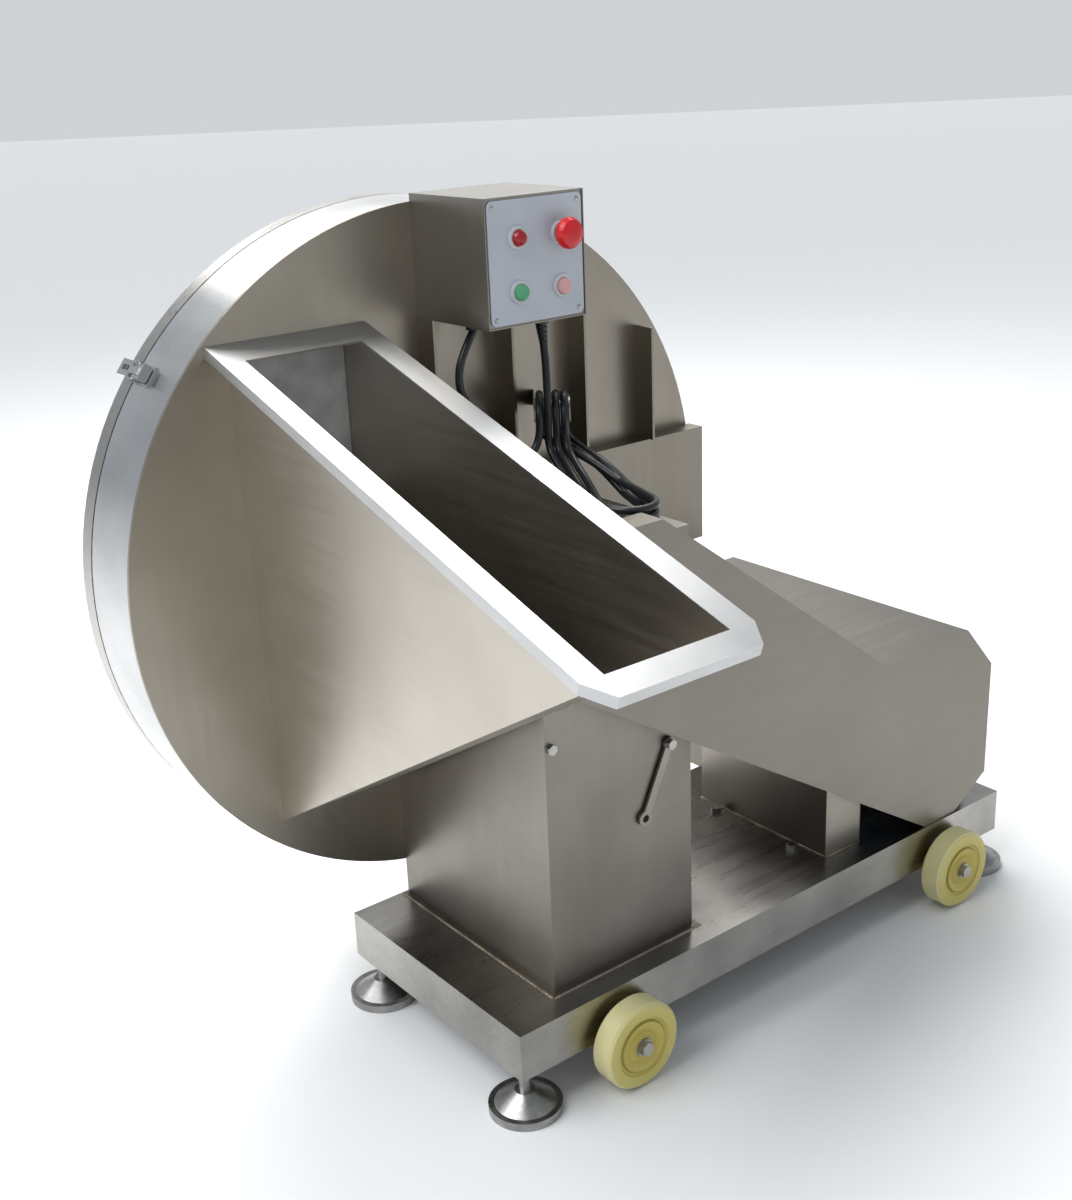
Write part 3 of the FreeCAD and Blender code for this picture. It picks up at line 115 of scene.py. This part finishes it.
soft_light("window_light", (-2.8, 0.4, 3.4), (0, 0, 0.6), 3.0, 2.2, 60, (0.90, 0.95, 1.0))
soft_light("ceiling_light", (0.8, 2.2, 3.6), (0, 0, 0.5), 3.4, 2.4, 150, (1.0, 0.99, 0.97))
daylight_data = bpy.data.lights.new("daylight", "SUN")
daylight_data.energy = 1.7
daylight_data.angle = math.radians(50)
daylight = bpy.data.objects.new("daylight", daylight_data)
daylight.rotation_euler = (math.radians(-14), math.radians(-30), 0)
bpy.context.scene.collection.objects.link(daylight)


# Drum: the round front plate with its ribs and channel, cut and welded from thin stainless sheet and brushed
# upright. Every sheet piece gets its own tone, grain direction and amount of wear; the ribs' darker tone is
# painted shade.
def pattern(made, scale, detail, stretch=(1, 1, 1)):
    """Noise on the object's own coordinates; stretch squeezes it along an axis."""
    tree = made.node_tree
    coords = tree.nodes.new("ShaderNodeTexCoord")
    mapping = tree.nodes.new("ShaderNodeMapping")
    mapping.inputs["Scale"].default_value = stretch
    noise = tree.nodes.new("ShaderNodeTexNoise")
    noise.inputs["Scale"].default_value = scale
    noise.inputs["Detail"].default_value = detail
    tree.links.new(coords.outputs["Object"], mapping.inputs["Vector"])
    tree.links.new(mapping.outputs["Vector"], noise.inputs["Vector"])
    return noise.outputs["Fac"]


def spread(made, value, low, high):
    """Maps noise around its middle to the range low to high and feeds the roughness."""
    tree = made.node_tree
    ranged = tree.nodes.new("ShaderNodeMapRange")
    ranged.inputs["From Min"].default_value = 0.3
    ranged.inputs["From Max"].default_value = 0.7
    ranged.inputs["To Min"].default_value = low
    ranged.inputs["To Max"].default_value = high
    tree.links.new(value, ranged.inputs["Value"])
    tree.links.new(ranged.outputs["Result"], tree.nodes["Principled BSDF"].inputs["Roughness"])


def two_tone(made, value, dark, pale):
    """Mixes two colours by a noise value into the base colour."""
    tree = made.node_tree
    ramp = tree.nodes.new("ShaderNodeValToRGB")
    ramp.color_ramp.elements[0].position = 0.32
    ramp.color_ramp.elements[0].color = (*dark, 1)
    ramp.color_ramp.elements[1].position = 0.68
    ramp.color_ramp.elements[1].color = (*pale, 1)
    tree.links.new(value, ramp.inputs["Fac"])
    tree.links.new(ramp.outputs["Color"], tree.nodes["Principled BSDF"].inputs["Base Color"])


def relief(made, value, strength, depth):
    """A shallow bump from a noise value."""
    tree = made.node_tree
    bump = tree.nodes.new("ShaderNodeBump")
    bump.inputs["Strength"].default_value = strength
    bump.inputs["Distance"].default_value = depth
    tree.links.new(value, bump.inputs["Height"])
    tree.links.new(bump.outputs["Normal"], tree.nodes["Principled BSDF"].inputs["Normal"])


def sheet_steel(name, tone, roughness, grain, wear=0.12, cloud=5.0, warmth=1.0):
    """Brushed stainless sheet; grain is the squeeze that draws the brush lines out."""
    pale = (tone, tone * (1 - 0.075 * warmth), tone * (1 - 0.19 * warmth))
    dark = tuple(c * (1 - wear) for c in pale)
    made = blank(name, pale, 1.0, roughness)
    two_tone(made, pattern(made, cloud, 6.0), dark, pale)
    spread(made, pattern(made, 9.0, 4.0, grain), roughness * 0.93, roughness * 1.09)
    relief(made, pattern(made, 60.0, 3.0, grain), 0.10, 0.0006)
    return made


def coat(made, *names):
    """Gives CAD nodes one finish."""
    for name in names:
        nodes[name].data.materials.clear()
        nodes[name].data.materials.append(made)


coat(sheet_steel("drum_steel", 0.38, 0.36, (14, 14, 0.6), wear=0.16, warmth=1.3), "drum_front_plate")
# The ribs' steel is the plate's steel made darker: painted shade for the shadow on the ribs' sides.
coat(sheet_steel("rib_steel_painted_shade", 0.31, 0.36, (14, 14, 0.5), warmth=1.3), "front_stiffeners")

# Drum band: the rolled rim of the drum, brighter because it was polished along its length after rolling.
coat(sheet_steel("band_steel", 0.64, 0.28, (3, 0.4, 3), wear=0.2, cloud=8.0, warmth=0.0), "drum_band")

# Rear door: a shallow dish with a lipped edge, on a leaf hinge, with the discharge chute on its face.
coat(sheet_steel("door_steel", 0.50, 0.28, (0.5, 8, 12), wear=0.12, warmth=0.5), "rear_door")
coat(sheet_steel("chute_steel", 0.46, 0.32, (14, 0.5, 8)), "discharge_chute")
coat(sheet_steel("hinge_steel", 0.48, 0.3, (10, 10, 0.6)), "door_hinge_fixed", "door_hinge_moving")

# Pedestal: a folded and welded box column, darker and more marked than the rest.
coat(sheet_steel("pedestal_steel", 0.27, 0.38, (16, 16, 0.5), wear=0.22, cloud=6.0), "pedestal")

# Base pan: a shallow folded tray turned upside down, worn dull on its deck by dirt and feet.
coat(sheet_steel("pan_steel", 0.46, 0.28, (0.5, 9, 14), wear=0.34, cloud=9.0, warmth=0.5), "base_pan")

# Hopper: two flat sides, a sloping floor and a closing plate, all in brushed sheet welded at the corners.
coat(sheet_steel("hopper_steel", 0.56, 0.35, (12, 0.6, 12), wear=0.14), "hopper_body")

# Painted highlight: a pale, nearly non-metallic sheet just in front of the drum plate, behind the hopper's
# mouth and over the feed opening, standing for light on the drum face there, mottled with random darker
# noise.
plate_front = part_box("drum_front_plate")[0].y
highlight_low = Vector((-0.480, plate_front - 0.0015, 0.776))
highlight_high = Vector((-0.315, plate_front - 0.0002, 0.984))
# The patch's pale paint is a painted highlight, not a finish of the steel.
highlight_paint = sheet_steel("highlight_paint", 0.78, 0.5, (9, 9, 0.6), wear=0.3, cloud=26.0, warmth=0.0)
highlight_paint.node_tree.nodes["Principled BSDF"].inputs["Metallic"].default_value = 0.1
highlight_shape = bmesh.new()
bmesh.ops.create_cube(highlight_shape, size=1, matrix=Matrix.Translation((highlight_low + highlight_high) / 2)
                      @ Matrix.Diagonal((*(highlight_high - highlight_low), 1)))
drum_highlight_patch = settled("drum_highlight_patch", highlight_shape, highlight_paint)
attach(drum_highlight_patch, "frame")

# Hopper rim: a folded bar around the mouth, ground after it was mitred and welded. Its pale neutral tone is
# partly the steel's own and partly painted reflection of the overhead light.
coat(sheet_steel("rim_painted_reflection_steel", 0.58, 0.36, (6, 0.5, 6), wear=0.08, cloud=14.0, warmth=0.0), "hopper_rim")

# Covers: the belt guard, the motor's cover and its post, bent from one thickness of brushed sheet.
coat(sheet_steel("guard_steel", 0.25, 0.38, (0.6, 9, 12), wear=0.08), "belt_guard", "motor_cover")
coat(sheet_steel("post_steel", 0.40, 0.34, (14, 14, 0.5)), "cover_post", "cord_saddle", "motor_slide_plate")

# Control box: a small welded stainless cabinet with a pale grey panel let into its front.
coat(sheet_steel("box_steel", 0.33, 0.30, (12, 12, 0.6), wear=0.18, warmth=0.8), "control_box")
panel_paint = blank("panel_paint", (0.54, 0.58, 0.63), 0.0, 0.45)
two_tone(panel_paint, pattern(panel_paint, 7.0, 4.0), (0.50, 0.54, 0.59), (0.58, 0.62, 0.68))
relief(panel_paint, pattern(panel_paint, 900.0, 2.0), 0.05, 0.0002)
coat(panel_paint, "control_panel")

# Latch: a toggle latch of thick bright plate, tumbled after pressing.
coat(sheet_steel("latch_steel", 0.72, 0.22, (8, 0.8, 8), wear=0.12, warmth=0.1), "latch_base", "latch_lever",
     "latch_claw")
coat(sheet_steel("lever_steel", 0.33, 0.38, (10, 10, 1), wear=0.2), "clamp_lever")


# Hardware: turned and cold-headed stainless fasteners, axles and feet with fine turning marks.
def turned_metal(name, tone, roughness, wear):
    """Machined metal with small uneven wear and no clear grain."""
    made = blank(name, (tone, tone * 0.98, tone * 0.94), 1.0, roughness)
    two_tone(made, pattern(made, 40.0, 5.0), (tone * (1 - wear),) * 3, (tone, tone * 0.98, tone * 0.94))
    spread(made, pattern(made, 120.0, 3.0), roughness * 0.8, roughness * 1.25)
    relief(made, pattern(made, 400.0, 2.0), 0.08, 0.0003)
    return made


coat(turned_metal("bolt_steel", 0.5, 0.3, 0.3), "foot_lock_nuts", "wheel_axles", "fixing_bolts",
     "knife_screws", "disc_nut")
coat(turned_metal("foot_steel", 0.42, 0.34, 0.35), "foot_front_left", "foot_front_right", "foot_rear_left",
     "foot_rear_right")
coat(turned_metal("knife_steel", 0.6, 0.2, 0.15), "knives")
coat(turned_metal("disc_steel", 0.46, 0.3, 0.2), "cutter_disc", "spindle", "motor_shaft")
coat(turned_metal("cast_iron", 0.16, 0.5, 0.4), "bearing_units", "spindle_pulley", "motor_pulley")

# Motor: a ribbed frame with blue-grey enamel over the casting, and a pressed cowl over its fan.
motor_enamel = blank("motor_enamel", (0.12, 0.17, 0.22), 0.0, 0.4)
two_tone(motor_enamel, pattern(motor_enamel, 12.0, 4.0), (0.10, 0.14, 0.19), (0.14, 0.19, 0.25))
relief(motor_enamel, pattern(motor_enamel, 300.0, 3.0), 0.15, 0.0004)
coat(motor_enamel, "motor_body", "motor_cowl")


# Wheels: pale yellow cast nylon, darker and grimy near the hub, with a scuffed tread.
def wheel_nylon(name):
    """Nylon whose colour runs in rings about the wheel's own axle."""
    low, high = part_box(name)
    middle = (low + high) / 2
    made = blank(name + "_nylon", (0.70, 0.62, 0.20), 0.0, 0.42)
    tree = made.node_tree
    coords = tree.nodes.new("ShaderNodeTexCoord")
    place = tree.nodes.new("ShaderNodeVectorMath")
    place.operation = "SUBTRACT"
    place.inputs[1].default_value = middle
    flat = tree.nodes.new("ShaderNodeVectorMath")
    flat.operation = "MULTIPLY"
    flat.inputs[1].default_value = (1, 0, 1)
    reach = tree.nodes.new("ShaderNodeVectorMath")
    reach.operation = "LENGTH"
    share = tree.nodes.new("ShaderNodeMath")
    share.operation = "DIVIDE"
    share.inputs[1].default_value = (high.z - low.z) / 2
    ramp = tree.nodes.new("ShaderNodeValToRGB")
    elements = ramp.color_ramp.elements
    elements[0].position = 0.18
    elements[0].color = (0.42, 0.36, 0.12, 1)
    elements[1].position = 1.0
    elements[1].color = (0.68, 0.62, 0.32, 1)
    for position, colour in ((0.30, (0.55, 0.44, 0.09, 1)), (0.56, (0.60, 0.49, 0.11, 1)),
                             (0.60, (0.34, 0.27, 0.06, 1)), (0.65, (0.62, 0.52, 0.13, 1)),
                             (0.90, (0.64, 0.55, 0.18, 1))):
        elements.new(position).color = colour
    tree.links.new(coords.outputs["Object"], place.inputs[0])
    tree.links.new(place.outputs["Vector"], flat.inputs[0])
    tree.links.new(flat.outputs["Vector"], reach.inputs[0])
    tree.links.new(reach.outputs["Value"], share.inputs[0])
    tree.links.new(share.outputs["Value"], ramp.inputs["Fac"])
    tree.links.new(ramp.outputs["Color"], tree.nodes["Principled BSDF"].inputs["Base Color"])
    spread(made, pattern(made, 30.0, 5.0), 0.34, 0.58)
    relief(made, pattern(made, 90.0, 4.0), 0.2, 0.001)
    return made


for wheel in ("wheel_front_left", "wheel_front_right", "wheel_rear_left", "wheel_rear_right"):
    coat(wheel_nylon(wheel), wheel)


# Switches: glossy moulded caps in red, green and white, set in pale bezels, with black bodies behind.
def moulded(name, colour, roughness, grainy=0.06):
    """Moulded plastic or rubber with a faint cloud and a fine skin."""
    made = blank(name, colour, 0.0, roughness)
    two_tone(made, pattern(made, 30.0, 4.0), tuple(c * 0.88 for c in colour), colour)
    spread(made, pattern(made, 80.0, 3.0), roughness * 0.85, roughness * 1.2)
    relief(made, pattern(made, 500.0, 2.0), grainy, 0.0003)
    return made


coat(moulded("bezel_plastic", (0.66, 0.67, 0.68), 0.35), "button_bezels")
coat(moulded("lamp_lens", (0.42, 0.012, 0.02), 0.15), "pilot_lamp")
coat(moulded("start_cap", (0.10, 0.45, 0.22), 0.25), "start_button")
coat(moulded("stop_cap", (0.80, 0.42, 0.42), 0.3), "stop_button")
coat(moulded("mushroom_cap", (0.72, 0.015, 0.02), 0.22), "estop_head")
coat(moulded("stem_plastic", (0.05, 0.05, 0.05), 0.4), "estop_stem", "contact_blocks", "cable_glands",
     "motor_fan")
coat(moulded("plug_plastic", (0.45, 0.02, 0.02), 0.35), "power_plug")
coat(moulded("belt_rubber", (0.02, 0.02, 0.02), 0.7, 0.2), "drive_belts")
coat(moulded("gasket_rubber", (0.012, 0.012, 0.012), 0.6, 0.2), "door_gasket")


# Power cord: black rubber cable, 11 mm, from the gland under the box to its plug. Most of it is wound
# in three turns over the saddle and lies on the pedestal's top.
pan_middle = Vector((0.374, 0.1355, 0))
cable_radius = 0.0055


def from_corner(x, y, z):
    """A point in metres from millimetres measured from the pan's front left corner."""
    return Vector((x, y, z)) / 1000 - pan_middle


def bundle_point(x, y, z, heading, dip, across, lift):
    """A point beside the bundle's middle line, in millimetres across it and above it."""
    turn = math.radians(heading)
    slope = math.radians(dip)
    ahead = Vector((math.cos(turn), math.sin(turn), 0))
    beside = Vector((-math.sin(turn), math.cos(turn), 0))
    above = Vector((0, 0, math.cos(slope))) - ahead * math.sin(slope)
    point = Vector((x, y, z)) + beside * across + above * lift
    return from_corner(*point)


def rounded(corners):
    """Control points for a spline through (point, radius) corners, each turned on its own radius."""
    route = [corners[0][0]]
    for (before, _), (corner, radius), (after, _) in zip(corners, corners[1:], corners[2:]):
        come = (corner - before).normalized()
        leave = (after - corner).normalized()
        angle = come.angle(leave)
        if angle < math.radians(32):
            route.append(corner)
            continue
        reach = radius * math.tan(angle / 2)
        middle = corner + (leave - come).normalized() * (radius / math.cos(angle / 2))
        steps = max(2, math.ceil(math.degrees(angle) / 30))
        axis = come.cross(leave).normalized()
        start = corner - come * reach - middle
        for step in range(steps):
            spoke = Matrix.Rotation(angle * (step + 0.5) / steps, 3, axis) @ start
            route.append(middle + spoke / math.cos(angle / steps / 2))
    return route + [corners[-1][0]]


bend = 0.034
fold_spot = (272.3, 65.4)
fold_side = 36
deck_strand = 743
strand_rise = 12
lie = 243
saddle_spot = (343, 318)
saddle_face = 232.5
saddle_reach = 33.5
drop_middle = [(354, 293, 805, 238, 62), (337, 203, deck_strand, 251, 0), (293, 106, deck_strand, lie, 0)]
rise_middle = [(352, 252, 783, 248, 32), (337, 203, deck_strand, 251, 0), (293, 106, deck_strand, lie, 0)]
front_strands = [[(-32.5, -14), (-37.5, 0), (-36, 0)], [(-20.5, -14), (-31, 12), (-36, 12)],
                 [(-8.5, -14), (-22, 22), (-36, 24)]]
back_strands = [[(10, -4), (31, 0), (36, 0)], [(22.5, -5), (41, 8), (36, 12)], [(-2, 5), (25, 18), (36, 24)]]
saddle_slots = [5.5, 17.5, -17]
cord_corners = [(from_corner(324, 310, 971), bend), (from_corner(325.5, 307.5, 938), bend),
                (from_corner(322.5, 301, 902), bend), (from_corner(318.3, 295.5, 866), bend)]
for turn, (front, back, slot) in enumerate(zip(front_strands, back_strands, saddle_slots)):
    for middle, offset in zip(drop_middle, front):
        cord_corners.append((bundle_point(*middle, *offset), bend))
    for side in (-fold_side, fold_side):
        cord_corners.append((bundle_point(*fold_spot, deck_strand + strand_rise * turn, lie, 0, side, 0),
                             fold_side / 1000))
    for middle, offset in zip(reversed(rise_middle), reversed(back)):
        cord_corners.append((bundle_point(*middle, *offset), bend))
    cord_corners.append((bundle_point(*saddle_spot, 799, saddle_face, 90, slot, 31), bend))
    for depth in (saddle_reach, -saddle_reach):
        cord_corners.append((bundle_point(*saddle_spot, 868.5, saddle_face, 90, slot, depth),
                             saddle_reach / 1000))
cord_corners += [(from_corner(307, 302, 807), 0.05), (from_corner(262, 300, 768), 0.06),
                 (from_corner(213, 291, 760.2), bend), (from_corner(177, 284.5, 760.2), bend)]
cord_points = rounded(cord_corners)


def cable(name, points):
    """One open spline tube of the cord's rubber, whose control points are the route."""
    data = bpy.data.curves.new(name, "CURVE")
    data.dimensions = "3D"
    data.bevel_depth = cable_radius
    data.bevel_resolution = 4
    data.resolution_u = 6
    data.use_fill_caps = True
    spline = data.splines.new("NURBS")
    spline.points.add(len(points) - 1)
    for control, point in zip(spline.points, points):
        control.co = (*point, 1)
    spline.order_u = 3
    spline.use_endpoint_u = True
    data.materials.append(cord_rubber)
    made = bpy.data.objects.new(name, data)
    bpy.context.scene.collection.objects.link(made)
    return made


cord_rubber = moulded("cord_rubber", (0.016, 0.017, 0.019), 0.34, 0.12)
power_cord = cable("power_cord_spline", cord_points)
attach(power_cord, "frame")
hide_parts("power_cord", "cord_hank", "cord_tail")

# Motor lead: the same cable, one bow from the box's other gland to the gland in the pedestal's top.
lead_points = [from_corner(*point) for point in (
    (235, 344, 970.7), (213, 344, 939), (204, 344, 908), (211, 344, 878), (234, 343, 852), (264, 342, 829),
    (292, 341, 806), (307, 341, 781), (310, 341, 755))]
motor_lead = cable("motor_lead_spline", lead_points)
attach(motor_lead, "frame")
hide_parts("motor_lead")

# Strain reliefs: tapered rubber sleeves where the power cord leaves its gland and enters its plug.
def ringed_tube(name, start, end, radii, sides, paint):
    """A closed tube along a straight line, with one evenly spaced ring for each radius."""
    turn = Vector((0, 0, 1)).rotation_difference((end - start).normalized()).to_matrix().to_4x4()
    last = len(radii) - 1
    shape = bmesh.new()
    rings = []
    for step, radius in enumerate(radii):
        ring = bmesh.ops.create_circle(shape, segments=sides, radius=radius, cap_ends=step in (0, last),
                                       matrix=Matrix.Translation(start.lerp(end, step / last)) @ turn)
        rings.append(set(ring["verts"]))
    for pair in zip(rings, rings[1:]):
        edges = [edge for edge in shape.edges if any(ring.issuperset(edge.verts) for ring in pair)]
        bmesh.ops.bridge_loops(shape, edges=edges)
    bmesh.ops.recalc_face_normals(shape, faces=shape.faces)
    return settled(name, shape, paint)


def sleeve(name, start, toward, wide):
    """A tapered sleeve of nine rings, every second one a shallow groove."""
    end = start + (toward - start).normalized() * 0.026
    narrow = 0.0062
    groove = 0.0006
    radii = [wide + (narrow - wide) * step / 8 - groove * (step % 2) for step in range(9)]
    made = ringed_tube(name, start, end, radii, 32, cord_rubber)
    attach(made, "frame")
    return made


gland_sleeve = sleeve("gland_sleeve", cord_points[0], cord_points[1], 0.0088)
plug_sleeve = sleeve("plug_sleeve", cord_points[-1], cord_points[-2], 0.0095)

# Weld beads: rippled fillets where the pedestal and the cover's post stand on the pan, left as welded
# with a straw-coloured heat tint.
def bead(name, start, end):
    """A rippled half-sunk weld along one straight seam."""
    fillet = 0.0026
    ripple = 0.16
    ripple_step = 0.004
    count = int((end - start).length / ripple_step) + 2
    radii = [fillet * (1 - ripple * (step % 2)) for step in range(count)]
    made = ringed_tube(name, start, end, radii, 10, weld_steel)
    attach(made, "frame")


weld_steel = blank("weld_steel", (0.42, 0.34, 0.24), 1.0, 0.42)
two_tone(weld_steel, pattern(weld_steel, 35.0, 5.0), (0.26, 0.20, 0.16), (0.52, 0.44, 0.32))
relief(weld_steel, pattern(weld_steel, 250.0, 3.0), 0.3, 0.0006)
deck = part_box("base_pan")[1].z
for foot_name in ("pedestal", "cover_post"):
    low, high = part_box(foot_name)
    front_left = Vector((low.x, low.y, deck))
    front_right = Vector((high.x, low.y, deck))
    bead(foot_name + "_weld_front", front_left, front_right)
    bead(foot_name + "_weld_left", front_left, Vector((low.x, high.y, deck)))
    bead(foot_name + "_weld_right", front_right, Vector((high.x, high.y, deck)))

# Panel screws: four small domed stainless screws near the panel's corners.
panel_low, panel_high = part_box("control_panel")
screw_inset = Vector((0.008, 0, 0.008))
screw_low = panel_low + screw_inset
screw_high = panel_high - screw_inset
screw_steel = turned_metal("screw_steel", 0.55, 0.25, 0.3)
flattened = Matrix.Diagonal((1, 0.5, 1, 1))
for index, (x, z) in enumerate(((screw_low.x, screw_low.z), (screw_high.x, screw_low.z),
                                (screw_low.x, screw_high.z), (screw_high.x, screw_high.z))):
    shape = bmesh.new()
    bmesh.ops.create_uvsphere(shape, u_segments=20, v_segments=12, radius=0.0032,
                              matrix=Matrix.Translation((x, screw_low.y, z)) @ flattened)
    screw = settled("panel_screw_%d" % index, shape, screw_steel)
    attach(screw, "frame")
